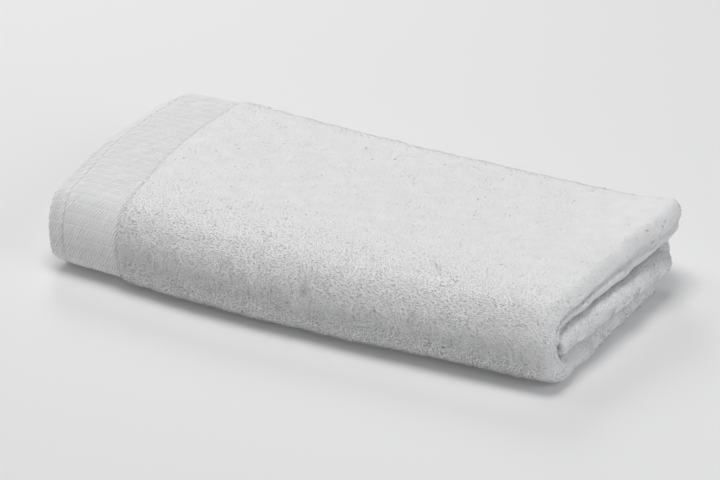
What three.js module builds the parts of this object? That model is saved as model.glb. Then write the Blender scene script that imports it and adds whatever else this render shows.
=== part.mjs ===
import * as THREE from "three";

// Face towel of white cotton terry, folded in thirds along its length, then in thirds across it,
// and laid on a surface. Millimetres, +Z up, origin on the surface under the middle of the pack.
// The towel is one solid. Its section is the three plies of a strip, hem to hem, and that section
// is carried around the second fold, from the selvedge underneath to the selvedge inside.

// Cloth
const PLY = 5.2; // terry with its loops on both faces
const PLY_GAP = 0.4; // air between plies of a strip
const STRIP_GAP = 0.4; // air between stacked strips
const BORDER = 37; // flat woven band inside the hem
const BORDER_PLY = 3; // band without loops
const HEM = 10.5; // turned and sewn end
const HEM_PLY = 4; // doubled cloth of the hem
const EDGE_PLY = 1.6; // cloth at the hem's very edge
const EDGE_ROUND = 1.2; // how far the rounded edge stands out past the hem line
const HEM_STEP = 0.2; // length of the step from the hem down to the band
const PILE_START = 1.6; // length over which the loops rise from the band

// Pack
const PACK_WIDTH = 180; // across the strips, before they are skewed
const UNDER_SELVEDGE = 53; // where the lowest strip ends at the back
const INNER_SELVEDGE = 6.6; // how far the inside strip reaches into the front fold
const SHOULDER = 54; // where the inside strip leaves the back fold's pull
const HEM_LAP = 8; // hem beyond the fold of the two inner plies
const CURL_REACH = 20; // length over which a hem rolls down
const CREASE_LEVEL = 0.2; // level of the crease in a folded end, from the strip's middle
const CREASE_HALF = 2.2; // half width of that crease
const CREASE_REACH = 18; // length over which the crease fades into the strip
const SELVEDGE_TAPER = 7.5; // length over which the strip thins to its selvedge
const INNER_THIN = 0.55; // share of the thickness left at the inside selvedge
const UNDER_THIN = 0.75; // share of the thickness left at the selvedge underneath
const DROOP = 5.2; // how far the top strip's folded end rounds down
const DROOP_REACH = 32; // length over which it does
const DROOP_FROM = 1.8; // where around the second fold the rounding starts
const DROOP_TO = 3.6; // where it begins to fade
const DROOP_FADE = 1.2; // how much farther it is gone
const FRONT_SQUARE = 0.09; // how much the front fold is pressed out below its middle, as a share
const SQUARE_FROM = -40; // where along the pack that begins to fade
const SQUARE_FADE = 170; // how much farther it is gone
const SAG_FRONT = 2.6; // how far the stack under the top strip sinks at the folded end, in front
const SAG_BACK = 10; // the same at the back
const SAG_FROM = 95; // where along the pack that starts
const SAG_REACH = 65; // length over which it does

// Steps of the surface
const FACE_STEPS = 7;
const FOLD_STEPS = 12;
const TURN_STEPS = 5;
const UNDER_STEPS = 5;
const FRONT_STEPS = 10;
const TOP_STEPS = 7;
const BACK_STEPS = 8;
const PULL_STEPS = 2;
const INSIDE_STEPS = 4;
const TAPER_STEPS = 3;
const MARGIN_MARKS = [
  -EDGE_ROUND, 0, HEM / 2, HEM - HEM_STEP / 2, HEM + HEM_STEP / 2, CURL_REACH, HEM + BORDER,
];

// Stations around the second fold, where its stretches start and stop.
const AT = { under: 0, front: 1, top: 3, back: 5, inside: 7, shoulder: 8, stop: 9 };

// Around the second fold: where the folded end reaches, its crease and how far the cloth under
// the crease draws back, where the hem lies, how far it curls, and where the inner hem stops.
const STATIONS = [
  { at: 0, end: 161.5, crease: 0, drawn: 0, hem: -168, curl: 2, inset: 9 }, // under, back
  { at: 1, end: 161, crease: 0, drawn: 0, hem: -166, curl: 2, inset: 9 }, // under, front
  { at: 2, end: 159.5, crease: 0.4, drawn: 0, hem: -165.5, curl: 3, inset: 10 }, // front fold
  { at: 3, end: 155.5, crease: 2.6, drawn: -3, hem: -171.5, curl: 5, inset: 14 }, // top, front
  { at: 4, end: 159.5, crease: 3.4, drawn: -2.5, hem: -180, curl: 6.5, inset: 15 }, // top, middle
  { at: 5, end: 168.5, crease: 3, drawn: 8, hem: -176, curl: 6.5, inset: 16 }, // top, back
  { at: 6, end: 156, crease: 0, drawn: 5, hem: -168, curl: 5, inset: 14 }, // back fold
  { at: 7, end: 161, crease: 0, drawn: 0, hem: -162, curl: 3, inset: 10 }, // inside, back
  { at: 8, end: 168, crease: 0, drawn: 0, hem: -165, curl: 3, inset: 9 }, // inside, shoulder
  { at: 9, end: 160, crease: 0, drawn: 0, hem: -165, curl: 3, inset: 9 }, // inside, front
];

// Along the pack: its front and back lines, and its height there as a share of the full stack.
const SECTIONS = [
  { at: -182, front: -85.5, back: 90, frontHeight: 0.98, backHeight: 1.02 },
  { at: -135, front: -84.5, back: 92, frontHeight: 0.97, backHeight: 1.03 },
  { at: -62, front: -89, back: 90, frontHeight: 0.93, backHeight: 1.01 },
  { at: 20, front: -87.5, back: 89, frontHeight: 0.92, backHeight: 1.01 },
  { at: 75, front: -85, back: 90, frontHeight: 0.92, backHeight: 1.01 },
  { at: 130, front: -81.5, back: 91, frontHeight: 0.97, backHeight: 1.035 },
  { at: 168, front: -79, back: 92, frontHeight: 1.04, backHeight: 1.15 },
];

const HALF = PLY / 2;
const LEVEL = PLY + PLY_GAP;
const STRIP = 3 * PLY + 2 * PLY_GAP;
const TURN = LEVEL / 2;
const RISE = STRIP + STRIP_GAP;
const FRONT_RADIUS = RISE;
const BACK_RADIUS = RISE / 2;
const FRONT_AXIS = -PACK_WIDTH / 2 + FRONT_RADIUS + STRIP / 2;
const BACK_AXIS = PACK_WIDTH / 2 - BACK_RADIUS - STRIP / 2;
const INSIDE_END = FRONT_AXIS - INNER_SELVEDGE;
const LOW_Z = STRIP / 2;
const INSIDE_Z = LOW_Z + RISE;
const TOP_Z = INSIDE_Z + RISE;
const OUTSIDE = LEVEL + HALF;
const GAP_Z = 2 * RISE - STRIP_GAP / 2;
const UNDER_TAPER_AT = SELVEDGE_TAPER / (UNDER_SELVEDGE - FRONT_AXIS);

function ease(share) {
  const t = THREE.MathUtils.clamp(share, 0, 1);
  return t * t * (3 - 2 * t);
}

function slope(rows, index, column) {
  const before = rows[Math.max(index - 1, 0)];
  const after = rows[Math.min(index + 1, rows.length - 1)];
  return (after[column] - before[column]) / (after.at - before.at);
}

// A smooth curve through one column of a table.
function follow(rows, column, at) {
  const place = THREE.MathUtils.clamp(at, rows[0].at, rows[rows.length - 1].at);
  let index = 0;
  while (index < rows.length - 2 && place > rows[index + 1].at) {
    index += 1;
  }
  const from = rows[index];
  const to = rows[index + 1];
  const span = to.at - from.at;
  const t = (place - from.at) / span;
  const rest = 1 - t;
  const start = (1 + 2 * t) * rest * rest * from[column];
  const finish = t * t * (3 - 2 * t) * to[column];
  const leave = t * rest * rest * span * slope(rows, index, column);
  const arrive = -t * t * rest * span * slope(rows, index + 1, column);
  return start + finish + leave + arrive;
}

// Half the cloth's thickness at a distance from its hem edge, which is rounded.
function halfThickness(fromEdge) {
  if (fromEdge < 0) {
    return EDGE_PLY / 2;
  }
  if (fromEdge < HEM) {
    return HEM_PLY / 2;
  }
  const pile = ease((fromEdge - HEM - BORDER) / PILE_START);
  return THREE.MathUtils.lerp(BORDER_PLY / 2, HALF, pile);
}

// A flat run of a ply; side is +1 where the towel's outward face is the upper one.
function addFace(cloth, from, to, level, side) {
  for (let step = 0; step <= FACE_STEPS; step += 1) {
    const x = THREE.MathUtils.lerp(from, to, step / FACE_STEPS);
    cloth.outer.push([x, level + side * HALF]);
    cloth.inner.push([x, level - side * HALF]);
  }
}

// A fold from one ply to the next.
function addTurn(cloth, x, level, radius, fromAngle, toAngle, steps) {
  for (let step = 1; step < steps; step += 1) {
    const angle = THREE.MathUtils.degToRad(THREE.MathUtils.lerp(fromAngle, toAngle, step / steps));
    const far = radius + HALF;
    const near = radius - HALF;
    cloth.outer.push([x + far * Math.cos(angle), level + far * Math.sin(angle)]);
    cloth.inner.push([x + near * Math.cos(angle), level + near * Math.sin(angle)]);
  }
}

// A hem and its band, marked by distance from the edge.
function addMargin(cloth, edge, inward, level, curl, marks) {
  for (const mark of marks) {
    const middle = level - curl * Math.max(1 - mark / CURL_REACH, 0) ** 2;
    cloth.outer.push([edge + inward * mark, middle + halfThickness(mark)]);
    cloth.inner.push([edge + inward * mark, middle - halfThickness(mark)]);
  }
}

// The two faces of a strip's three plies, from hem to hem: the outer ply to the folded end,
// the ply facing the next strip, and the ply held between the two.
function stripCloth(station) {
  const cloth = { outer: [], inner: [] };
  const margin = HEM + BORDER + PILE_START;
  const foldX = station.end - LEVEL - HALF;
  const turnX = station.hem + HEM_LAP + TURN + HALF;
  const stop = station.end - station.inset;
  addMargin(cloth, station.hem, 1, LEVEL, station.curl, MARGIN_MARKS);
  addFace(cloth, station.hem + margin, foldX, LEVEL, 1);
  addTurn(cloth, foldX, 0, LEVEL, 90, -90, FOLD_STEPS);
  addFace(cloth, foldX, turnX, -LEVEL, -1);
  addTurn(cloth, turnX, -TURN, TURN, 270, 90, TURN_STEPS);
  addFace(cloth, turnX, stop - margin, 0, 1);
  addMargin(cloth, stop, -1, 0, 0, MARGIN_MARKS.toReversed());
  return cloth;
}

// A folded end: the crease that closes its middle, the cloth drawn back below the crease, and
// the round of the top strip.
function creased([x, level], station, at) {
  const reach = ease((x - station.end + CREASE_REACH) / CREASE_REACH);
  const dip = Math.exp(-(((level - CREASE_LEVEL) / CREASE_HALF) ** 2));
  const below = ease((CREASE_LEVEL - level) / OUTSIDE);
  const near = THREE.MathUtils.clamp((x - station.end + DROOP_REACH) / DROOP_REACH, 0, 1);
  const strip = ease(at - DROOP_FROM) * (1 - ease((at - DROOP_TO) / DROOP_FADE));
  const share = ease((level + OUTSIDE) / (2 * OUTSIDE));
  return [
    x - reach * (station.crease * dip + station.drawn * below),
    level - DROOP * near * near * strip * share,
  ];
}

// The line of the strip's middle around the second fold, with its outward direction.
function secondFold() {
  const line = [];
  const add = (y, z, outY, outZ, at) => line.push({ y, z, outY, outZ, at });
  const flat = (fromY, toY, z, out, at, next, steps) => {
    for (let step = 0; step < steps; step += 1) {
      const y = THREE.MathUtils.lerp(fromY, toY, step / steps);
      add(y, z, 0, out, THREE.MathUtils.lerp(at, next, step / steps));
    }
  };
  const bend = (y, z, radius, fromAngle, toAngle, at, next, steps) => {
    for (let step = 0; step < steps; step += 1) {
      const turned = THREE.MathUtils.lerp(fromAngle, toAngle, step / steps);
      const outY = Math.cos(THREE.MathUtils.degToRad(turned));
      const outZ = Math.sin(THREE.MathUtils.degToRad(turned));
      const station = THREE.MathUtils.lerp(at, next, step / steps);
      add(y + radius * outY, z + radius * outZ, outY, outZ, station);
    }
  };
  const thinFrom = INSIDE_END + SELVEDGE_TAPER;
  const thinAt = AT.stop - SELVEDGE_TAPER / (SHOULDER - INSIDE_END);
  const taperY = UNDER_SELVEDGE - SELVEDGE_TAPER;
  const backZ = INSIDE_Z + BACK_RADIUS;
  add(UNDER_SELVEDGE, LOW_Z, 0, -1, AT.under);
  flat(taperY, FRONT_AXIS, LOW_Z, -1, UNDER_TAPER_AT, AT.front, UNDER_STEPS);
  bend(FRONT_AXIS, INSIDE_Z, FRONT_RADIUS, 270, 90, AT.front, AT.top, FRONT_STEPS);
  flat(FRONT_AXIS, BACK_AXIS, TOP_Z, 1, AT.top, AT.back, TOP_STEPS);
  bend(BACK_AXIS, backZ, BACK_RADIUS, 90, -90, AT.back, AT.inside, BACK_STEPS);
  flat(BACK_AXIS, SHOULDER, INSIDE_Z, -1, AT.inside, AT.shoulder, PULL_STEPS);
  flat(SHOULDER, thinFrom, INSIDE_Z, -1, AT.shoulder, thinAt, INSIDE_STEPS);
  flat(thinFrom, INSIDE_END, INSIDE_Z, -1, thinAt, AT.stop, TAPER_STEPS);
  add(INSIDE_END, INSIDE_Z, 0, -1, AT.stop);
  return line;
}

// A strip is thinner at its selvedges: flat on the surface underneath, rounded inside the fold.
function thinned(level, spot) {
  if (spot.at < UNDER_TAPER_AT) {
    return STRIP / 2 - UNDER_THIN * (STRIP / 2 - level);
  }
  const left = spot.at > AT.shoulder ? Math.min((spot.y - INSIDE_END) / SELVEDGE_TAPER, 1) : 1;
  const round = Math.sqrt(1 - (1 - left) ** 2);
  return level * THREE.MathUtils.lerp(INNER_THIN, 1, round);
}

// How far the stack sinks at the folded end: most at the gap under the top strip.
function sagged(x, across, z) {
  const deep = THREE.MathUtils.lerp(SAG_FRONT, SAG_BACK, ease(across)) * ease((x - SAG_FROM) / SAG_REACH);
  const share = z < GAP_Z ? z / GAP_Z : Math.max(1 - (z - GAP_Z) / RISE, 0);
  return deep * share;
}

// The front fold below its middle, pressed out by the weight over it.
function squared(x, y, z, at) {
  const turn = THREE.MathUtils.clamp(at - AT.front, 0, 1);
  const share = FRONT_SQUARE * (1 - ease((x - SQUARE_FROM) / SQUARE_FADE));
  const grown = 1 + share * Math.sin(Math.PI * turn) ** 2;
  return [FRONT_AXIS + (y - FRONT_AXIS) * grown, INSIDE_Z + (z - INSIDE_Z) * grown];
}

// The pack as it lies: skewed front and back lines, and an uneven height over a flat underside.
function settled(x, y, z) {
  const across = (y + PACK_WIDTH / 2) / PACK_WIDTH;
  const front = follow(SECTIONS, "front", x);
  const back = follow(SECTIONS, "back", x);
  const low = follow(SECTIONS, "frontHeight", x);
  const high = follow(SECTIONS, "backHeight", x);
  const height = THREE.MathUtils.lerp(low, high, ease(across));
  const sunk = z - sagged(x, across, z);
  return [x, THREE.MathUtils.lerp(front, back, across), sunk * height];
}

function stationAt(at) {
  const station = {};
  for (const column of ["end", "crease", "drawn", "hem", "curl", "inset"]) {
    station[column] = follow(STATIONS, column, at);
  }
  return station;
}

function towelGeometry() {
  const positions = [];
  const faces = [];
  const line = secondFold();
  for (const spot of line) {
    const station = stationAt(spot.at);
    const cloth = stripCloth(station);
    for (const point of [...cloth.outer, ...cloth.inner.toReversed()]) {
      const [x, level] = creased(point, station, spot.at);
      const out = thinned(level, spot);
      const [y, z] = squared(x, spot.y + out * spot.outY, spot.z + out * spot.outZ, spot.at);
      positions.push(...settled(x, y, z));
    }
  }
  const count = positions.length / 3 / line.length;
  const addQuad = (a, b, c, d) => faces.push(a, c, b, a, d, c);
  for (let row = 0; row < line.length - 1; row += 1) {
    for (let column = 0; column < count; column += 1) {
      const a = row * count + column;
      const b = row * count + ((column + 1) % count);
      addQuad(a, a + count, b + count, b);
    }
  }
  const last = (line.length - 1) * count;
  for (let column = 0; column < count / 2 - 1; column += 1) {
    const across = count - 1 - column;
    addQuad(column, column + 1, across - 1, across);
    addQuad(last + column, last + across, last + across - 1, last + column + 1);
  }
  const geometry = new THREE.BufferGeometry();
  geometry.setAttribute("position", new THREE.Float32BufferAttribute(positions, 3));
  geometry.setIndex(faces);
  geometry.computeBoundingBox();
  const middle = geometry.boundingBox.getCenter(new THREE.Vector3());
  geometry.translate(-middle.x, -middle.y, 0);
  geometry.computeVertexNormals();
  return geometry;
}

const cotton = new THREE.MeshStandardMaterial({ color: 0xe6e5e4, roughness: 0.95, metalness: 0 });
const towel = new THREE.Mesh(towelGeometry(), cotton);
towel.name = "towel";

const part = new THREE.Group();
part.name = "face_towel";
part.add(towel);

export default part;
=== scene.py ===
import math

import bpy
import numpy as np
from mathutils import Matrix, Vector


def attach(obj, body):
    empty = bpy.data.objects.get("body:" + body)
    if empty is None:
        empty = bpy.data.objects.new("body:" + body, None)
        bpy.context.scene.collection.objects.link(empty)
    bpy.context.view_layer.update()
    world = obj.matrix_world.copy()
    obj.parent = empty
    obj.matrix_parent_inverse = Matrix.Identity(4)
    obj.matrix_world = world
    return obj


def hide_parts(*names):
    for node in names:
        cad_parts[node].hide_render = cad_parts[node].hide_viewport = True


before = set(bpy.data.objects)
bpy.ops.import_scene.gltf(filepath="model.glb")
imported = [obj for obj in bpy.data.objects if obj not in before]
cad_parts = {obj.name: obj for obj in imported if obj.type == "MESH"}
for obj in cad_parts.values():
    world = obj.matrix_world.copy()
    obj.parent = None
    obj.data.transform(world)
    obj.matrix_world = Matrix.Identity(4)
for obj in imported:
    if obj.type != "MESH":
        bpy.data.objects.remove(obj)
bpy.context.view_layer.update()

# Face towel of white cotton terry, folded in thirds along its length, then in thirds across it.
# Cloth sizes are in millimetres. A point of the cloth is given by u, its distance from the outer
# hem along the towel, p, its distance around the second fold, and w, its height over the cloth's
# middle. Stations number the places around the second fold: 0 is the under selvedge, 1 to 3 the
# front fold, 3 to 5 the top, 5 to 7 the back fold, and 9 the inner selvedge. Meshes are in metres,
# in the part's own frame.

MM = 0.001
SEED = 41
TINY = 1e-12

# Cloth
PLY = 5.2
PLY_GAP = 0.4
STRIP_GAP = 0.4
BORDER = 37.0
BORDER_PLY = 3.0
HEM = 10.5
HEM_PLY = 4.0
HEM_STEP = 0.1
EDGE_ROUND = 1.2
PILE_START = 1.6

# Pack
PACK_WIDTH = 180.0
UNDER_SELVEDGE = 53.0
INNER_SELVEDGE = 6.6
SHOULDER = 54.0
HEM_LAP = 8.0
CURL_REACH = 20.0
CREASE_LEVEL = 0.2
CREASE_HALF = 1.2
CREASE_REACH = 18.0
SELVEDGE_TAPER = 7.5
INNER_THIN = 0.55
UNDER_THIN = 0.75
FRONT_SQUARE = 0.09
SQUARE_FROM = -40.0
SQUARE_FADE = 170.0
SAG_FRONT = 2.6
SAG_BACK = 10.0
SAG_FROM = 95.0
SAG_REACH = 65.0
DROOP = 5.2
DROOP_REACH = 32.0
DROOP_FROM = 1.8
DROOP_TO = 3.6
DROOP_FADE = 1.2
CENTRE_X = 6.66
CENTRE_Y = -1.359

# Small in and out of the folded ends: size, and each wave's share, length and phase.
END_WANDER = 0.45
WANDER_WAVES = ((1.0, 7.3, 0.4), (0.8, 4.1, 2.0), (0.6, 13.0, 0.0))

# Around the second fold: station, folded end, its crease, cloth drawn back under the crease,
# hem, curl of the hem, and inset of the inner hem.
STATION_COLUMNS = ("end", "crease", "drawn", "hem", "curl", "inset")
STATIONS = np.array([
    (0, 161.5, 0.0, 0, -168.0, 2.0, 9),
    (1, 161.0, 0.0, 0, -166.0, 2.0, 9),
    (2, 159.5, 0.4, 0.0, -165.5, 3.0, 10),
    (3, 155.5, 2.6, -3.0, -171.5, 5.0, 14),
    (4, 159.5, 3.4, -2.5, -180.0, 6.5, 15),
    (5, 168.5, 3.0, 8.0, -176.0, 6.5, 16),
    (6, 156.0, 0.0, 5, -168.0, 5.0, 14),
    (7, 161.0, 0.0, 0, -162.0, 3.0, 10),
    (8, 168.0, 0.0, 0, -165.0, 3.0, 9),
    (9, 160.0, 0.0, 0, -165.0, 3.0, 9),
])

# Along the pack: place, front line, back line, height at the front and at the back.
SECTIONS = np.array([
    (-182, -85.5, 90, 0.98, 1.02),
    (-135, -84.5, 92, 0.97, 1.03),
    (-62, -89, 90, 0.93, 1.01),
    (20, -87.5, 89, 0.92, 1.01),
    (75, -85, 90, 0.92, 1.01),
    (130, -81.5, 91, 0.97, 1.035),
    (168, -79, 92, 1.04, 1.15),
])

# Shallow dents pressed into the front fold: u, station, half width, half length, depth.
DENTS = (
    (140, 2.56, 3.2, 11, 2.8),
    (172, 2.2, 3.0, 9, 2.8),
    (96, 2.6, 4.0, 12, 0.7),
    (236, 2.3, 4.0, 14, 0.6),
)

HALF = PLY / 2
LEVEL = PLY + PLY_GAP
STRIP = 3 * PLY + 2 * PLY_GAP
TURN = LEVEL / 2
RISE = STRIP + STRIP_GAP
FRONT_RADIUS = RISE
BACK_RADIUS = RISE / 2
FRONT_AXIS = -PACK_WIDTH / 2 + FRONT_RADIUS + STRIP / 2
BACK_AXIS = PACK_WIDTH / 2 - BACK_RADIUS - STRIP / 2
INSIDE_END = FRONT_AXIS - INNER_SELVEDGE
LOW_Z = STRIP / 2
INSIDE_Z = LOW_Z + RISE
TOP_Z = INSIDE_Z + RISE
OUTSIDE = LEVEL + HALF
GAP_Z = 2 * RISE - STRIP_GAP / 2
PILE_EDGE = HEM + BORDER

# Unevenness of the outer ply
LUMP_HEIGHT = 0.2
SWELL_HEIGHT = 0.3
RELIEF_START = 6.0
RELIEF_PAST_FOLD = 10.0

# Body under the loops: grooves at the stitch line and at the pile's edge, each shallower where
# the top of the pack is pressed flat.
GROOVE_DEPTH = 1.6
GROOVE_HALF = 1.1
GROOVE_HALF_LESS = 0.3
PILE_GROOVE_DEPTH = 1.0
PILE_GROOVE_HALF = 0.9
GROOVE_DEPTH_LESS = 0.6
SUNK_LESS = 0.5
HEM_LEAST = 0.3

# Where the pile is pressed flat on the top: start and fade, end and fade, in stations.
PRESSED_AT = (2.4, 1.4, 4.9, 0.5)
# Where loops stand on the outer ply, in the same way.
SHOWN_AT = (0.93, 0.1, 7.6, 0.3)

# Loops
LOOP_RISE = 0.5
LOOP_PITCH = 1.5
LOOP_RADIUS = 0.37
LOOP_HALF_WIDTH = 0.46
LOOP_HEIGHT = 0.74
LOOP_BOW = np.radians([0, 90, 180])
LOOP_SIDES = 3
LOOP_ROOT = 0.3
LOOP_SCATTER = 0.36
LOOP_LEAN = 0.4
NAP_LEAN = 0.3
WIDTH_SPREAD = (0.7, 1.2)
HEIGHT_SPREAD = (0.75, 1.25)
RADIUS_SPREAD = (0.85, 1.15)
PRESSED = 0.74
END_PRESSED = 0.6
END_PRESS_REACH = 12.0
END_ZONE = 6.0
CREVICE_DEPTH = 8.0
COVER_BEFORE_FOLD = 14.0
COVER_FOLD_FADE = 4.0
COVER_BEFORE_TURN = 6.0
COVER_PAST_TURN = 3.0
COVER_TURN_FADE = 3.0
COVER_LEAST = 0.5
FIRST_ROW = 1.0
ROWS_BEFORE_FRONT = 8.0
ROWS_PAST_BACK = 16.0
FIRST_LOOP = 0.9
LOOPS_BEFORE_FOLD = 11.0
LOOPS_BEFORE_TURN = 5.0
LOOPS_PAST_TURN = 2.0
SELVEDGE_CLEAR = 0.5
PROBE_OUT = 0.6
PROBE_ALONG = 0.4

# Flat band, hem and stitches
BAND_BEFORE_FRONT = 34.0
BAND_PAST_BACK = 26.0
RIB_PITCH = 6.6
FLOAT_RISE = 0.2
FLOAT_PITCH = 1.75
FLOAT_SLANT = 4.2
FLOAT_FIRST = 0.4
FLOAT_SCATTER = 0.18
FLOAT_SHARES = np.array([0, 0.05, 0.13, 0.5, 0.87, 0.95, 1])
FLOAT_TAPER = np.array([0.6, 0.94, 1, 1, 1, 0.94, 0.6])
FLOAT_HALF_WIDTH = 0.78
FLOAT_FLATNESS = 0.3
FLOAT_SIDES = 4
FLOAT_SUNK = 1.2
FLOAT_SPREAD = (0.8, 1.2)
FLOAT_STEEPNESS = 18.0
RIB_GAP = 0.05
STITCH_AT = HEM - 0.5
STITCH_CLEAR = 1.0
HEM_FLOAT_FROM = 0.2
HEM_FLOAT_CLEAR = 0.45
HEM_FLOAT_CLEAR_BENT = 0.4
BAND_FLOAT_CLEAR = 0.15
BAND_FLOAT_CLEAR_BENT = 0.3
BAND_FLOAT_STOP = 0.5
STITCH_LENGTH = 2.7
STITCH_PITCH = 3.3
STITCH_STEPS = 5
STITCH_SCATTER = 0.1
STITCH_SLANT = 0.15
STITCH_RISE = 0.12
STITCH_ROUND = 0.6
STITCH_SUNK = 0.05
STITCH_RADIUS = 0.34
STITCH_SIDES = 5

rng = np.random.default_rng(SEED)


def ease(share):
    t = np.clip(share, 0, 1)
    return t * t * (3 - 2 * t)


def within(value, start, rise, stop, fall):
    """1 between two places, eased in over one length and out over another."""
    return ease((value - start) / rise) * (1 - ease((value - stop) / fall))


def follow(table, column, at):
    """A smooth curve through one column of a table."""
    xs, ys = table[:, 0], table[:, column]
    count = len(xs)
    before = np.maximum(np.arange(count) - 1, 0)
    after = np.minimum(np.arange(count) + 1, count - 1)
    slopes = (ys[after] - ys[before]) / (xs[after] - xs[before])
    spot = np.clip(at, xs[0], xs[-1])
    i = np.clip(np.searchsorted(xs, spot) - 1, 0, count - 2)
    span = xs[i + 1] - xs[i]
    t = (spot - xs[i]) / span
    rest = 1 - t
    ends = (1 + 2 * t) * rest**2 * ys[i] + t**2 * (3 - 2 * t) * ys[i + 1]
    return ends + t * rest * span * (rest * slopes[i] - t * slopes[i + 1])


def stations(at):
    return {name: follow(STATIONS, k + 1, at) for k, name in enumerate(STATION_COLUMNS)}


def fold_runs(level):
    """Lengths of the second fold's five stretches at a level over the strip's middle."""
    return np.array([
        UNDER_SELVEDGE - FRONT_AXIS,
        math.pi * (FRONT_RADIUS + level),
        BACK_AXIS - FRONT_AXIS,
        math.pi * (BACK_RADIUS + level),
        BACK_AXIS - INSIDE_END,
    ])


def second_fold(p, level):
    """The strip's middle at distance p, measured at that level: place, outward side, station."""
    runs = fold_runs(level)
    starts = np.concatenate([[0], np.cumsum(runs)])
    k = np.clip(np.searchsorted(starts, p) - 1, 0, len(runs) - 1)
    s = p - starts[k]
    share = s / runs[k]
    bend = (k == 1) | (k == 3)
    angle = np.where(k == 1, 1.5 * math.pi, 0.5 * math.pi) - math.pi * share
    flat_side = np.where(k == 2, 1.0, -1.0)
    out_y = np.where(bend, np.cos(angle), 0.0)
    out_z = np.where(bend, np.sin(angle), flat_side)
    front_y, front_z = FRONT_AXIS + FRONT_RADIUS * out_y, INSIDE_Z + FRONT_RADIUS * out_z
    back_y, back_z = BACK_AXIS + BACK_RADIUS * out_y, INSIDE_Z + BACK_RADIUS * (1 + out_z)
    y = np.choose(k, [UNDER_SELVEDGE - s, front_y, FRONT_AXIS + s, back_y, BACK_AXIS - s])
    z = np.choose(k, [LOW_Z + 0 * s, front_z, TOP_Z + 0 * s, back_z, INSIDE_Z + 0 * s])
    pull = BACK_AXIS - SHOULDER
    inside = np.where(s < pull, 7 + s / pull, 8 + (s - pull) / (runs[4] - pull))
    at = np.choose(k, [share, 1 + 2 * share, 3 + 2 * share, 5 + 2 * share, inside])
    return y, z, out_y, out_z, at


def ply_runs(st):
    """Where the strip's plies and turns start and stop, hem to hem."""
    fold_x = st["end"] - LEVEL - HALF
    turn_x = st["hem"] + HEM_LAP + TURN + HALF
    stop = st["end"] - st["inset"]
    runs = np.stack(np.broadcast_arrays(
        fold_x - st["hem"], math.pi * LEVEL, fold_x - turn_x, math.pi * TURN, stop - turn_x,
    ))
    return fold_x, turn_x, np.concatenate([0 * runs[:1], np.cumsum(runs, axis=0)])


def ply_line(u, st):
    """The cloth's middle in the strip's section, and the direction of its outward face."""
    fold_x, turn_x, starts = ply_runs(st)
    k = sum((u > start).astype(int) for start in starts[1:5])
    s = u - np.choose(k, list(starts[:5]))
    a = 0.5 * math.pi - s / LEVEL
    b = 1.5 * math.pi - s / TURN
    droop = np.clip(1 - s / CURL_REACH, 0, None)
    tilt = np.arctan(2 * st["curl"] / CURL_REACH * droop)
    x = np.choose(k, [
        st["hem"] + s, fold_x + LEVEL * np.cos(a), fold_x - s,
        turn_x + TURN * np.cos(b), turn_x + s,
    ])
    level = np.choose(k, [
        LEVEL - st["curl"] * droop**2, LEVEL * np.sin(a), -LEVEL + 0 * s,
        TURN * np.sin(b) - TURN, 0 * s,
    ])
    out_x = np.choose(k, [-np.sin(tilt), np.cos(a), 0 * s, np.cos(b), 0 * s])
    out_level = np.choose(k, [np.cos(tilt), np.sin(a), 0 * s - 1, np.sin(b), 0 * s + 1])
    return x, level, out_x, out_level


def sagged(x, across, z):
    """How far the gap under the top strip lies lower towards the folded end's back corner."""
    deep = SAG_FRONT + (SAG_BACK - SAG_FRONT) * ease(across)
    share = np.where(z < GAP_Z, z / GAP_Z, np.maximum(1 - (z - GAP_Z) / RISE, 0))
    return deep * ease((x - SAG_FROM) / SAG_REACH) * share


def wander(y):
    """Small in and out of the folded ends, along the fold."""
    return END_WANDER * sum(
        share * np.sin(y / length + phase) for share, length, phase in WANDER_WAVES
    )


def place(u, p, w, level=0.0):
    """Points of the cloth, in metres."""
    u, p, w = np.broadcast_arrays(np.asarray(u, float), p, w)
    y, z, out_y, out_z, at = second_fold(p, level)
    st = stations(at)
    x, up, out_x, out_up = ply_line(u, st)
    x = x + w * out_x
    up = up + w * out_up
    # The folded end: rounded down on top, creased at its middle and drawn back below.
    rounded = np.clip((x - st["end"] + DROOP_REACH) / DROOP_REACH, 0, 1) ** 2
    rounded = rounded * ease(at - DROOP_FROM) * (1 - ease((at - DROOP_TO) / DROOP_FADE))
    reach = ease((x - st["end"] + CREASE_REACH) / CREASE_REACH)
    dip = np.exp(-(((up - CREASE_LEVEL) / CREASE_HALF) ** 2))
    below = ease((CREASE_LEVEL - up) / OUTSIDE)
    x = x - reach * (st["crease"] * dip + st["drawn"] * below + wander(y + out_z * INSIDE_Z))
    up = up - DROOP * rounded * ease((up + OUTSIDE) / (2 * OUTSIDE))
    # The strip is thinner at its selvedges.
    total = fold_runs(level).sum()
    under = UNDER_THIN + (1 - UNDER_THIN) * np.clip(p / SELVEDGE_TAPER, 0, 1)
    up = STRIP / 2 - under * (STRIP / 2 - up)
    left = np.clip((total - p) / SELVEDGE_TAPER, 0, 1)
    up = up * (INNER_THIN + (1 - INNER_THIN) * np.sqrt(1 - (1 - left) ** 2))
    y = y + up * out_y
    z = z + up * out_z
    # The front fold is pressed out below its middle.
    square = FRONT_SQUARE * (1 - ease((x - SQUARE_FROM) / SQUARE_FADE))
    square = 1 + square * np.sin(math.pi * np.clip(at - 1, 0, 1)) ** 2
    y = FRONT_AXIS + (y - FRONT_AXIS) * square
    z = INSIDE_Z + (z - INSIDE_Z) * square
    across = (y + PACK_WIDTH / 2) / PACK_WIDTH
    z = z - sagged(x, across, z)
    front, back, low, high = (follow(SECTIONS, k, x) for k in (1, 2, 3, 4))
    y = front + (back - front) * across
    z = z * (low + (high - low) * ease(across))
    return np.stack([x + CENTRE_X, y + CENTRE_Y, np.maximum(z, 0)], -1) * MM


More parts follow.
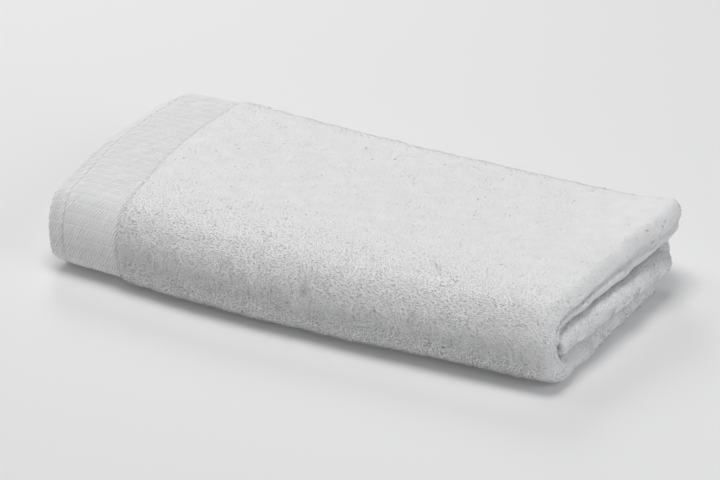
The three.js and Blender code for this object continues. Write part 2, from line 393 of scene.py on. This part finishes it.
def outside_distance(at):
    """Distance around the second fold on the outside of the pack, for a station."""
    knots = np.concatenate([[0], np.cumsum(fold_runs(OUTSIDE))])
    shoulder = knots[4] + BACK_AXIS - SHOULDER
    return np.interp(at, [0, 1, 3, 5, 7, 8, 9], [*knots[:5], shoulder, knots[5]])


def waves(count, shortest, longest):
    """Directions and phases of a field of slow waves."""
    length = np.exp(rng.uniform(math.log(shortest), math.log(longest), count))
    heading = rng.uniform(0, 2 * math.pi, count)
    phase = rng.uniform(0, 2 * math.pi, count)
    return 2 * math.pi / length * np.cos(heading), 2 * math.pi / length * np.sin(heading), phase


def field(wave, u, p):
    """A smooth uneven field over the cloth, mostly between -1 and 1."""
    total = 0
    for along, across, phase in zip(*wave):
        total = total + np.sin(along * u + across * p + phase)
    return total / math.sqrt(len(wave[0]))


LUMPS = waves(count=14, shortest=7, longest=26)
SWELLS = waves(count=8, shortest=40, longest=110)
NAP_U = waves(count=10, shortest=9, longest=45)
NAP_P = waves(count=10, shortest=9, longest=45)


def relief(u, at):
    """Height of the outer ply's own unevenness."""
    p = outside_distance(at)
    pile = ease((u - PILE_EDGE) / RELIEF_START)
    height = pile * (LUMP_HEIGHT * field(LUMPS, u, p) + SWELL_HEIGHT * field(SWELLS, u, p))
    for dent_u, dent_at, half_u, half_p, depth in DENTS:
        far = ((u - dent_u) / half_u) ** 2 + ((p - outside_distance(dent_at)) / half_p) ** 2
        height = height - depth * np.exp(-far)
    return height


def flat_top(at):
    """1 on the top of the pack, where the pile is pressed, and 0 on its folds."""
    return within(at, *PRESSED_AT)


def loop_cover(u, at, st):
    """Where loops stand on the outward face: 1 with loops, 0 where the pile is only pressed flat."""
    starts = ply_runs(st)[2]
    ply = ease((u - PILE_EDGE) / PILE_START) * within(at, *SHOWN_AT) * (u < starts[1])
    fold_from, fold_to = starts[1] - COVER_BEFORE_FOLD, starts[2] + CREVICE_DEPTH
    end = within(u, fold_from, COVER_FOLD_FADE, fold_to, COVER_FOLD_FADE)
    turn_from, turn_to = starts[3] - COVER_BEFORE_TURN, starts[4] + COVER_PAST_TURN
    turn = within(u, turn_from, COVER_TURN_FADE, turn_to, COVER_TURN_FADE)
    return np.maximum(np.maximum(ply, end), turn)


def body_half(u, at, st, outward):
    """Half the cloth's thickness under its loops."""
    total = ply_runs(st)[2][5]
    flat = flat_top(at)
    d = np.minimum(u, total - u)
    edge = np.sqrt(1 - (1 - np.clip((d + EDGE_ROUND) / (2 * EDGE_ROUND), 0, 1)) ** 2)
    half = GROOVE_HALF - GROOVE_HALF_LESS * flat
    groove = (GROOVE_DEPTH - GROOVE_DEPTH_LESS * flat) * np.exp(-(((d - STITCH_AT) / half) ** 2))
    hem = HEM_PLY / 2 * edge - FLOAT_RISE - groove
    band = BORDER_PLY / 2 - FLOAT_RISE
    cover = loop_cover(u, at, st) if outward else 0
    pile = HALF - LOOP_RISE * cover * (1 - SUNK_LESS * flat)
    inner = band + (pile - band) * ease((d - PILE_EDGE) / PILE_START)
    pile_groove = np.exp(-(((d - PILE_EDGE) / PILE_GROOVE_HALF) ** 2))
    inner = inner - (PILE_GROOVE_DEPTH - GROOVE_DEPTH_LESS * flat) * pile_groove
    return np.where(d < HEM, np.maximum(hem, HEM_LEAST), inner)


def make_piece(name, points, faces, material):
    """One mesh object from points and arrays of faces, which may differ in their corner counts."""
    mesh = bpy.data.meshes.new(name)
    mesh.vertices.add(len(points))
    mesh.vertices.foreach_set("co", np.ascontiguousarray(points, dtype=np.float32).ravel())
    corners = np.concatenate([part.ravel() for part in faces]).astype(np.int32)
    sizes = np.concatenate([np.full(len(part), part.shape[1]) for part in faces])
    mesh.loops.add(len(corners))
    mesh.loops.foreach_set("vertex_index", corners)
    mesh.polygons.add(len(sizes))
    starts = np.concatenate([[0], np.cumsum(sizes)[:-1]]).astype(np.int32)
    mesh.polygons.foreach_set("loop_start", starts)
    mesh.polygons.foreach_set("use_smooth", np.ones(len(sizes), dtype=bool))
    mesh.update(calc_edges=True)
    mesh.validate()
    mesh.materials.append(material)
    piece = bpy.data.objects.new(name, mesh)
    bpy.context.collection.objects.link(piece)
    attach(piece, "root")
    return piece


def unit(vectors):
    return vectors / (np.linalg.norm(vectors, axis=-1, keepdims=True) + TINY)


def tubes(paths, normals, wide, high, sides):
    """Closed yarns along many paths: points and faces. Paths are (yarns, steps, 3)."""
    count, steps, _ = paths.shape
    ahead = unit(np.gradient(paths, axis=1))
    side = unit(np.cross(ahead, normals))
    over = np.cross(side, ahead)
    turn = 2 * math.pi * np.arange(sides) / sides + 0.5 * math.pi
    wide = np.asarray(wide)[:, :, None, None]
    high = np.asarray(high)[:, :, None, None]
    ring = np.cos(turn)[:, None] * side[:, :, None] * wide
    ring = ring + np.sin(turn)[:, None] * over[:, :, None] * high
    points = (paths[:, :, None] + ring).reshape(-1, 3)
    base = np.arange(count)[:, None, None] * steps * sides
    row = base + np.arange(steps - 1)[None, :, None] * sides
    a = np.arange(sides)[None, None, :]
    b = (a + 1) % sides
    quads = np.stack([row + a, row + b, row + sides + b, row + sides + a], -1)
    first = np.arange(count)[:, None] * steps * sides + np.arange(sides)[::-1][None]
    last = np.arange(count)[:, None] * steps * sides + (steps - 1) * sides + np.arange(sides)[None]
    return points, [quads.reshape(-1, 4), first, last]


# Materials

def node(tree, kind, **values):
    made = tree.nodes.new(kind)
    for key, value in values.items():
        if key in made.inputs:
            made.inputs[key].default_value = value
        else:
            setattr(made, key, value)
    return made


def cotton(name, dark, light, mottle_scale, grain_scale, bump, bump_distance, sheen, glow):
    """White cotton: a slow mottle in its colour, a fine fibre grain in its roughness and bump."""
    material = bpy.data.materials.new(name)
    material.use_nodes = True
    tree = material.node_tree
    shader = tree.nodes["Principled BSDF"]
    shader.inputs["Specular IOR Level"].default_value = 0.12
    shader.inputs["Sheen Weight"].default_value = sheen
    shader.inputs["Sheen Roughness"].default_value = 0.6
    shader.inputs["Subsurface Weight"].default_value = glow
    shader.inputs["Subsurface Radius"].default_value = (1.0, 0.95, 0.9)
    shader.inputs["Subsurface Scale"].default_value = 0.0008
    place_node = node(tree, "ShaderNodeTexCoord")
    mottle = node(tree, "ShaderNodeTexNoise", Scale=mottle_scale, Detail=4.0, Roughness=0.6)
    ramp = node(tree, "ShaderNodeValToRGB")
    ramp.color_ramp.elements[0].position = 0.32
    ramp.color_ramp.elements[0].color = (*dark, 1)
    ramp.color_ramp.elements[1].position = 0.68
    ramp.color_ramp.elements[1].color = (*light, 1)
    grain = node(tree, "ShaderNodeTexNoise", Scale=grain_scale, Detail=3.0, Roughness=0.7)
    rough = node(tree, "ShaderNodeMapRange")
    rough.inputs["To Min"].default_value = 0.82
    rough.inputs["To Max"].default_value = 0.98
    relief_node = node(tree, "ShaderNodeBump", Strength=bump, Distance=bump_distance)
    link = tree.links.new
    link(place_node.outputs["Object"], mottle.inputs["Vector"])
    link(place_node.outputs["Object"], grain.inputs["Vector"])
    link(mottle.outputs["Fac"], ramp.inputs["Fac"])
    link(ramp.outputs["Color"], shader.inputs["Base Color"])
    link(grain.outputs["Fac"], rough.inputs["Value"])
    link(rough.outputs["Result"], shader.inputs["Roughness"])
    link(grain.outputs["Fac"], relief_node.inputs["Height"])
    link(relief_node.outputs["Normal"], shader.inputs["Normal"])
    return material


ground = cotton(
    "terry_ground", dark=(0.87, 0.868, 0.868), light=(0.92, 0.917, 0.914),
    mottle_scale=90, grain_scale=900, bump=0.8, bump_distance=0.0006, sheen=0.2, glow=0.6,
)
yarn = cotton(
    "loop_yarn", dark=(0.88, 0.878, 0.88), light=(0.94, 0.937, 0.932),
    mottle_scale=60, grain_scale=2200, bump=0.35, bump_distance=0.0002, sheen=0.25, glow=0.25,
)
# The band's yarn is lighter than the pile's cotton as painted light: it brightens the flat band.
band_yarn_painted_light = cotton(
    "band_yarn_painted_light", dark=(0.935, 0.933, 0.931), light=(0.965, 0.963, 0.959),
    mottle_scale=120, grain_scale=2600, bump=0.3, bump_distance=0.0002, sheen=0.15, glow=0.05,
)
# The stitches' thread is grey as painted shade: it darkens the stitch groove along the hem.
stitch_shade = cotton(
    "stitch_thread_painted_shade", dark=(0.6, 0.6, 0.6), light=(0.7, 0.7, 0.7),
    mottle_scale=300, grain_scale=4000, bump=0.3, bump_distance=0.0001, sheen=0.1, glow=0.05,
)


# The cloth: one closed sheet through every ply, fine on the outside and coarse in the stack.

# Steps around the second fold, for its hidden and shown stretches.
HIDDEN_STEP = 9.0
UNDER_STEP = 3.5
UNDER_SHOWN = 14.0
FRONT_STEP = 1.33
TOP_STEP = 1.9
BACK_STEP = 1.02
INSIDE_STEP = 3.0
INSIDE_SHOWN = 20.0
UNDER_TAPER_ROWS = (0, 1.5, 4, SELVEDGE_TAPER)
INNER_TAPER_SHARES = np.array([0.7, 0.45, 0.25, 0.1, 0])

# Columns over the hem and the band, from the hem's edge inwards.
EDGE_MARKS = (-EDGE_ROUND, -0.9, -0.3, 0.6, 1.2)
HEM_SPREAD = (3, 8, 1.6)
STEP_MARKS = (HEM - HEM_STEP / 2, HEM + HEM_STEP / 2)
GROOVE_MARKS = (9, 9.4, STITCH_AT, 10.2, *STEP_MARKS)
BAND_SPREAD = (12, PILE_EDGE - 2, 2.6)
PILE_MARKS = PILE_EDGE + np.array([-1.2, -0.6, 0, 0.5, 1.0])
COARSE_MARKS = (-EDGE_ROUND, -0.9, 0, 1.2, 5, *STEP_MARKS, 20, 34, PILE_EDGE)

# Columns along the plies, on the outward and the inward face.
BEFORE_TURN = 8.0
PAST_CREVICE = 6.0
OUT_COUNTS = {"outer": 150, "fold": 31, "crevice": 11, "second": 13, "near": 4, "turn": 10, "inner": 12}
IN_COUNTS = {"outer": 20, "fold": 9, "second": 20, "turn": 7, "inner": 12}


def spread(start, stop, step):
    return np.linspace(start, stop, max(int(round((stop - start) / step)), 1) + 1)


def sheet_rows():
    """Distances around the second fold, measured along the strip's middle."""
    under, front, top, back, inside = np.cumsum(fold_runs(0.0))
    return np.unique(np.concatenate([
        UNDER_TAPER_ROWS,
        spread(SELVEDGE_TAPER, under - UNDER_SHOWN, HIDDEN_STEP),
        spread(under - UNDER_SHOWN, under, UNDER_STEP),
        spread(under, front, FRONT_STEP),
        spread(front, top, TOP_STEP),
        spread(top, back, BACK_STEP),
        spread(back, back + INSIDE_SHOWN, INSIDE_STEP),
        spread(back + INSIDE_SHOWN, inside - SELVEDGE_TAPER, HIDDEN_STEP),
        inside - SELVEDGE_TAPER * INNER_TAPER_SHARES,
    ]))


def between(a, b, count):
    return [a + (b - a) * share for share in np.linspace(0, 1, count)]


def sheet_columns(starts):
    """Distances from the outer hem, one row of columns for the outward face and one inside."""
    ends = list(starts[1:6])
    margin = PILE_EDGE + PILE_START
    near_marks = np.concatenate([
        EDGE_MARKS, spread(*HEM_SPREAD), GROOVE_MARKS, spread(*BAND_SPREAD), PILE_MARKS,
    ])
    deep = starts[2] + CREVICE_DEPTH + PAST_CREVICE
    near = ends[2] - BEFORE_TURN
    outward = [mark + 0 * starts[0] for mark in near_marks]
    outward += between(margin, ends[0], OUT_COUNTS["outer"])
    outward += between(ends[0], ends[1], OUT_COUNTS["fold"])[1:]
    outward += between(ends[1], deep, OUT_COUNTS["crevice"])[1:]
    outward += between(deep, near, OUT_COUNTS["second"])[1:]
    outward += between(near, ends[2], OUT_COUNTS["near"])[1:]
    outward += between(ends[2], ends[3], OUT_COUNTS["turn"])[1:]
    outward += between(ends[3], ends[4] - margin, OUT_COUNTS["inner"])[1:]
    outward += [ends[4] - mark for mark in COARSE_MARKS[::-1]]
    inward = [mark + 0 * starts[0] for mark in COARSE_MARKS]
    inward += between(margin, ends[0], IN_COUNTS["outer"])
    inward += between(ends[0], ends[1], IN_COUNTS["fold"])[1:]
    inward += between(ends[1], ends[2], IN_COUNTS["second"])[1:]
    inward += between(ends[2], ends[3], IN_COUNTS["turn"])[1:]
    inward += between(ends[3], ends[4] - margin, IN_COUNTS["inner"])[1:]
    inward += [ends[4] - mark for mark in COARSE_MARKS[::-1]]
    return np.stack(outward, -1), np.stack(inward, -1)


def outer_relief(u, at, st):
    """The unevenness of the outer ply, which stops a little past the folded end."""
    return np.where(u < ply_runs(st)[2][1] + RELIEF_PAST_FOLD, relief(u, at), 0)


def make_sheet():
    p = sheet_rows()
    at = second_fold(p, 0.0)[4]
    outward, inward = sheet_columns(ply_runs(stations(at))[2])
    at = at[:, None]
    st = stations(at)
    top = body_half(outward, at, st, True) + outer_relief(outward, at, st)
    low = -body_half(inward, at, st, False)
    points = np.concatenate([
        place(outward, p[:, None], top), place(inward, p[:, None], low)[:, ::-1],
    ], axis=1)
    rows, columns, _ = points.shape
    r = np.arange(rows - 1)[:, None] * columns
    c = np.arange(columns)[None]
    n = (c + 1) % columns
    walls = np.stack([r + c, r + n, r + columns + n, r + columns + c], -1).reshape(-1, 4)
    caps = []
    for row, flip in ((0, True), (rows - 1, False)):
        caps.append(cap_faces(outward[row], inward[row], row * columns, columns, flip))
    return make_piece("towel_cloth", points.reshape(-1, 3), [walls, *caps], ground)


def cap_faces(outward, inward, base, columns, flip):
    """Triangles that close a selvedge between the two faces of its plies."""
    faces = []
    i, j = 0, 0
    while i < len(outward) - 1 or j < len(inward) - 1:
        a, b = base + i, base + columns - 1 - j
        step_out = j == len(inward) - 1 or (
            i < len(outward) - 1 and outward[i + 1] <= inward[j + 1]
        )
        if step_out:
            faces.append((a, base + i + 1, b))
            i += 1
        else:
            faces.append((a, base + columns - 2 - j, b))
            j += 1
    made = np.array(faces)
    return made[:, ::-1] if flip else made


# Loops of the pile

def surface(u, p, level, depth):
    """Points on the body's outward face, and the directions out of it, along and across."""
    at = second_fold(p, level)[4]
    st = stations(at)
    w = body_half(u, at, st, True) + outer_relief(u, at, st) - depth
    base = place(u, p, w, level)
    out = unit(place(u, p, w + PROBE_OUT, level) - base)
    along = place(u + PROBE_ALONG, p, w, level) - base
    along = unit(along - out * np.sum(along * out, axis=-1, keepdims=True))
    return base, out, along, np.cross(out, along)


def planted():
    """Places of the loops: rows across the towel, staggered, with a little wander."""
    runs = fold_runs(OUTSIDE)
    knots = np.concatenate([[0], np.cumsum(runs)])
    places = []
    for index, row in enumerate(np.arange(FIRST_ROW, knots[5] - FIRST_ROW, LOOP_PITCH)):
        st = stations(second_fold(np.array([row]), OUTSIDE)[4])
        starts = ply_runs(st)[2][:, 0]
        stagger = LOOP_PITCH / 2 * (index % 2)
        shown = knots[1] - ROWS_BEFORE_FRONT < row < knots[4] + ROWS_PAST_BACK
        arc = math.pi * OUTSIDE
        first = PILE_EDGE + FIRST_LOOP if shown else starts[1] - LOOPS_BEFORE_FOLD
        s = np.arange(first + stagger, starts[1] + arc + CREVICE_DEPTH, LOOP_PITCH)
        over = np.clip(s - starts[1], 0, arc)
        deep = np.clip(s - starts[1] - arc, 0, None)
        u = np.minimum(s, starts[1]) + over * LEVEL / OUTSIDE + deep
        arc = math.pi * (TURN + HALF)
        s = np.arange(-LOOPS_BEFORE_TURN + stagger, arc + LOOPS_PAST_TURN, LOOP_PITCH)
        over = np.clip(s, 0, arc)
        turn_u = starts[3] + np.minimum(s, 0) + over * TURN / (TURN + HALF) + np.maximum(s - arc, 0)
        all_u = np.concatenate([u, turn_u])
        places.append(np.stack([all_u, np.full(len(all_u), row)], -1))
    spots = np.concatenate(places)
    spots += rng.uniform(-LOOP_SCATTER, LOOP_SCATTER, spots.shape) * LOOP_PITCH
    u, p = spots[:, 0], np.clip(spots[:, 1], SELVEDGE_CLEAR, knots[5] - SELVEDGE_CLEAR)
    at = second_fold(p, OUTSIDE)[4]
    st = stations(at)
    up = ply_line(u, st)[1]
    bend_radius = np.where(at < 4, FRONT_RADIUS, BACK_RADIUS)
    bending = ((at > 1) & (at < 3)) | ((at > 5) & (at < 7))
    room = np.where(bending, (bend_radius + up) / (bend_radius + LEVEL), 1.0)
    keep = rng.random(len(u)) < np.clip(room, 0, 1)
    keep &= loop_cover(u, at, st) > COVER_LEAST
    return u[keep], p[keep], at[keep]


def make_pile():
    u, p, at = planted()
    count = len(u)
    fold_from = ply_runs(stations(at))[2][1]
    base, out, along, across = surface(u, p, OUTSIDE, LOOP_ROOT)
    yaw = rng.uniform(0, 2 * math.pi, count)[:, None]
    facing = np.cos(yaw) * along + np.sin(yaw) * across
    lean = rng.normal(0, LOOP_LEAN, (count, 2))
    lean[:, 0] += NAP_LEAN * field(NAP_U, u, p)
    lean[:, 1] += NAP_LEAN * field(NAP_P, u, p)
    half = LOOP_HALF_WIDTH * rng.uniform(*WIDTH_SPREAD, count)[:, None, None]
    on_fold = ease((u - fold_from + END_PRESS_REACH) / END_PRESS_REACH)
    pressed = np.maximum(flat_top(at), END_PRESSED * on_fold)
    height = LOOP_HEIGHT * rng.uniform(*HEIGHT_SPREAD, count) * (1 - PRESSED * pressed)
    height = height[:, None, None]
    bow = LOOP_BOW[None, :, None]
    lift = np.sin(bow)
    offset = -half * np.cos(bow) * facing[:, None] + height * lift * out[:, None]
    offset = offset + lift * (lean[:, :1, None] * along[:, None] + lean[:, 1:, None] * across[:, None])
    paths = base[:, None] + offset * MM
    paths[..., 2] = np.maximum(paths[..., 2], LOOP_RADIUS * MM)
    tilt = np.cos(yaw) * across - np.sin(yaw) * along
    radius = LOOP_RADIUS * MM * rng.uniform(*RADIUS_SPREAD, count)
    radius = radius[:, None] * np.ones((1, len(LOOP_BOW)))
    normals = np.broadcast_to(tilt[:, None], paths.shape)
    on_end = u > fold_from - END_ZONE
    on_top = (at > 3) & (at <= 5) & ~on_end
    middle = np.median(u[on_top])
    zones = {
        "pile_front": (at <= 3) & ~on_end,
        "pile_top_left": on_top & (u <= middle),
        "pile_top_right": on_top & (u > middle),
        "pile_back": (at > 5) & ~on_end,
        "pile_end": on_end,
    }
    pieces = []
    for name, chosen in zones.items():
        thick = radius[chosen]
        points, faces = tubes(paths[chosen], normals[chosen], thick, thick, LOOP_SIDES)
        pieces.append(make_piece(name, points, faces, yarn))
    return pieces


# The flat band and the hem: slanted floats between ribs, and a row of stitches

def yarn_rows(u, p, rise):
    """Paths over the band's face; u, p and rise are (yarns, steps)."""
    base, out, _, _ = surface(u, p, LEVEL, 0.0)
    return base + out * rise[..., None] * MM, out


def band_rows(pitch):
    """Starts around the second fold of what repeats along the band."""
    runs = np.cumsum(fold_runs(LEVEL))
    return np.arange(runs[0] - BAND_BEFORE_FRONT, runs[3] + BAND_PAST_BACK, pitch)


def make_band():
    cells = band_rows(RIB_PITCH)
    floats = np.arange(FLOAT_FIRST, PILE_EDGE + FLOAT_FIRST, FLOAT_PITCH)
    floats = floats[(floats < STITCH_AT - STITCH_CLEAR) | (floats > HEM + STITCH_CLEAR)]
    cell, start = np.meshgrid(cells, floats, indexing="ij")
    cell, start = cell.ravel(), start.ravel()
    start = start + rng.uniform(-FLOAT_SCATTER, FLOAT_SCATTER, len(start))
    share = FLOAT_SHARES[None]
    u = start[:, None] + FLOAT_SLANT * (share - 0.5)
    bent = 1 - flat_top(second_fold(cell, LEVEL)[4])
    band_from = HEM + BAND_FLOAT_CLEAR + BAND_FLOAT_CLEAR_BENT * bent
    hem_to = STITCH_AT - HEM_FLOAT_CLEAR - HEM_FLOAT_CLEAR_BENT * bent
    low = np.where(start < STITCH_AT, HEM_FLOAT_FROM, band_from)[:, None]
    high = np.where(start < STITCH_AT, hem_to, PILE_EDGE - BAND_FLOAT_STOP)[:, None]
    u = np.clip(u, low, high)
    p = cell[:, None] + RIB_GAP + (RIB_PITCH - 2 * RIB_GAP) * share
    rise = np.minimum(1, FLOAT_STEEPNESS * np.minimum(share, 1 - share))
    rise = rise * rng.uniform(*FLOAT_SPREAD, len(start))[:, None]
    rise = FLOAT_RISE * (rise - FLOAT_SUNK)
    paths, out = yarn_rows(u, p, rise)
    wide = np.full(u.shape, FLOAT_HALF_WIDTH * MM) * FLOAT_TAPER[None]
    points, faces = tubes(paths, out, wide, wide * FLOAT_FLATNESS, FLOAT_SIDES)
    return make_piece("woven_band", points, faces, band_yarn_painted_light)


def make_stitches():
    start = band_rows(STITCH_PITCH)
    share = np.linspace(0, 1, STITCH_STEPS)[None]
    p = start[:, None] + STITCH_LENGTH * share
    u = STITCH_AT + rng.normal(0, STITCH_SCATTER, (len(start), 1)) + STITCH_SLANT * (share - 0.5)
    rise = STITCH_RISE * np.sin(math.pi * share) ** STITCH_ROUND - STITCH_SUNK + 0 * u
    paths, out = yarn_rows(u, p, rise)
    wide = np.full(u.shape, STITCH_RADIUS * MM)
    points, faces = tubes(paths, out, wide, wide, STITCH_SIDES)
    return make_piece("hem_stitches", points, faces, stitch_shade)


cloth = make_sheet()
pile = make_pile()
band = make_band()
stitches = make_stitches()
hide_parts("towel")


# Floor, light and camera

FLOOR_REACH = 4.0


def floor_material():
    material = bpy.data.materials.new("floor_paper")
    material.use_nodes = True
    tree = material.node_tree
    shader = tree.nodes["Principled BSDF"]
    shader.inputs["Base Color"].default_value = (0.8, 0.8, 0.8, 1)
    shader.inputs["Emission Color"].default_value = (1, 1, 1, 1)
    shader.inputs["Emission Strength"].default_value = 0.06
    shader.inputs["Roughness"].default_value = 0.9
    shader.inputs["Specular IOR Level"].default_value = 0.1
    return material


floor_mesh = bpy.data.meshes.new("floor")
floor_mesh.from_pydata([
    (-FLOOR_REACH, -FLOOR_REACH, 0), (FLOOR_REACH, -FLOOR_REACH, 0),
    (FLOOR_REACH, FLOOR_REACH, 0), (-FLOOR_REACH, FLOOR_REACH, 0),
], [], [(0, 1, 2, 3)])
floor_mesh.materials.append(floor_material())
floor = bpy.data.objects.new("floor", floor_mesh)
bpy.context.collection.objects.link(floor)


def area_light(name, location, target, width, power, colour, spread_angle=180):
    """A round soft light: places and width in metres, power in watts, spread in degrees."""
    data = bpy.data.lights.new(name, "AREA")
    data.shape = "DISK"
    data.size = width
    data.energy = power
    data.color = colour
    data.spread = math.radians(spread_angle)
    lamp = bpy.data.objects.new(name, data)
    lamp.location = location
    lamp.rotation_mode = "QUATERNION"
    lamp.rotation_quaternion = (Vector(target) - Vector(location)).to_track_quat("-Z", "Y")
    bpy.context.collection.objects.link(lamp)


area_light(
    "key", location=(-0.05, -0.14, 2.0), target=(0, 0, 0),
    width=1.0, power=18.9, colour=(1.0, 0.99, 0.975),
)
area_light(
    "fill", location=(1.4, -0.2, 0.85), target=(0, 0, 0.02),
    width=1.2, power=6.4, colour=(0.94, 0.96, 1.0),
)
area_light(
    "side", location=(-1.45, -0.1, 1.3), target=(0, 0, 0.02),
    width=1.2, power=5.4, colour=(1, 1, 1),
)
area_light(
    "backdrop", location=(-1.3, 1.7, 1.3), target=(-0.8, 0.9, 0),
    width=1.0, power=6.2, colour=(1, 1, 1), spread_angle=90,
)

world = bpy.data.worlds.new("studio")
world.use_nodes = True
world.node_tree.nodes["Background"].inputs["Color"].default_value = (0.93, 0.96, 1.0, 1)
world.node_tree.nodes["Background"].inputs["Strength"].default_value = 0.12
bpy.context.scene.world = world
bpy.context.scene.view_settings.view_transform = "Standard"

# The photograph's frame is 720 x 480, with a focal length of 4000 of its pixels. The pack's
# middle lies off the frame's middle by a few pixels to the right and more below.
FRAME_WIDTH = 720
SENSOR_WIDTH = 36
FOCAL = 4000
PITCH = math.radians(27.6)
AZIMUTH = math.radians(28.3)
DISTANCE = 2.345
OFF_X = 4.7
OFF_Y = 36.0

camera_data = bpy.data.cameras.new("camera")
camera_data.sensor_width = SENSOR_WIDTH
camera_data.lens = FOCAL / FRAME_WIDTH * SENSOR_WIDTH
camera = bpy.data.objects.new("camera", camera_data)
backward = Vector((
    math.sin(AZIMUTH) * math.cos(PITCH), -math.cos(AZIMUTH) * math.cos(PITCH), math.sin(PITCH),
))
rightward = Vector((math.cos(AZIMUTH), math.sin(AZIMUTH), 0))
upward = backward.cross(rightward)
pixel = DISTANCE / FOCAL
target = upward * (OFF_Y * pixel) - rightward * (OFF_X * pixel)
target += Vector((CENTRE_X, CENTRE_Y, 0)) * MM
camera.location = target + backward * DISTANCE
camera.rotation_mode = "QUATERNION"
camera.rotation_quaternion = (-backward).to_track_quat("-Z", "Y")
bpy.context.collection.objects.link(camera)
bpy.context.scene.camera = camera

bpy.context.view_layer.update()
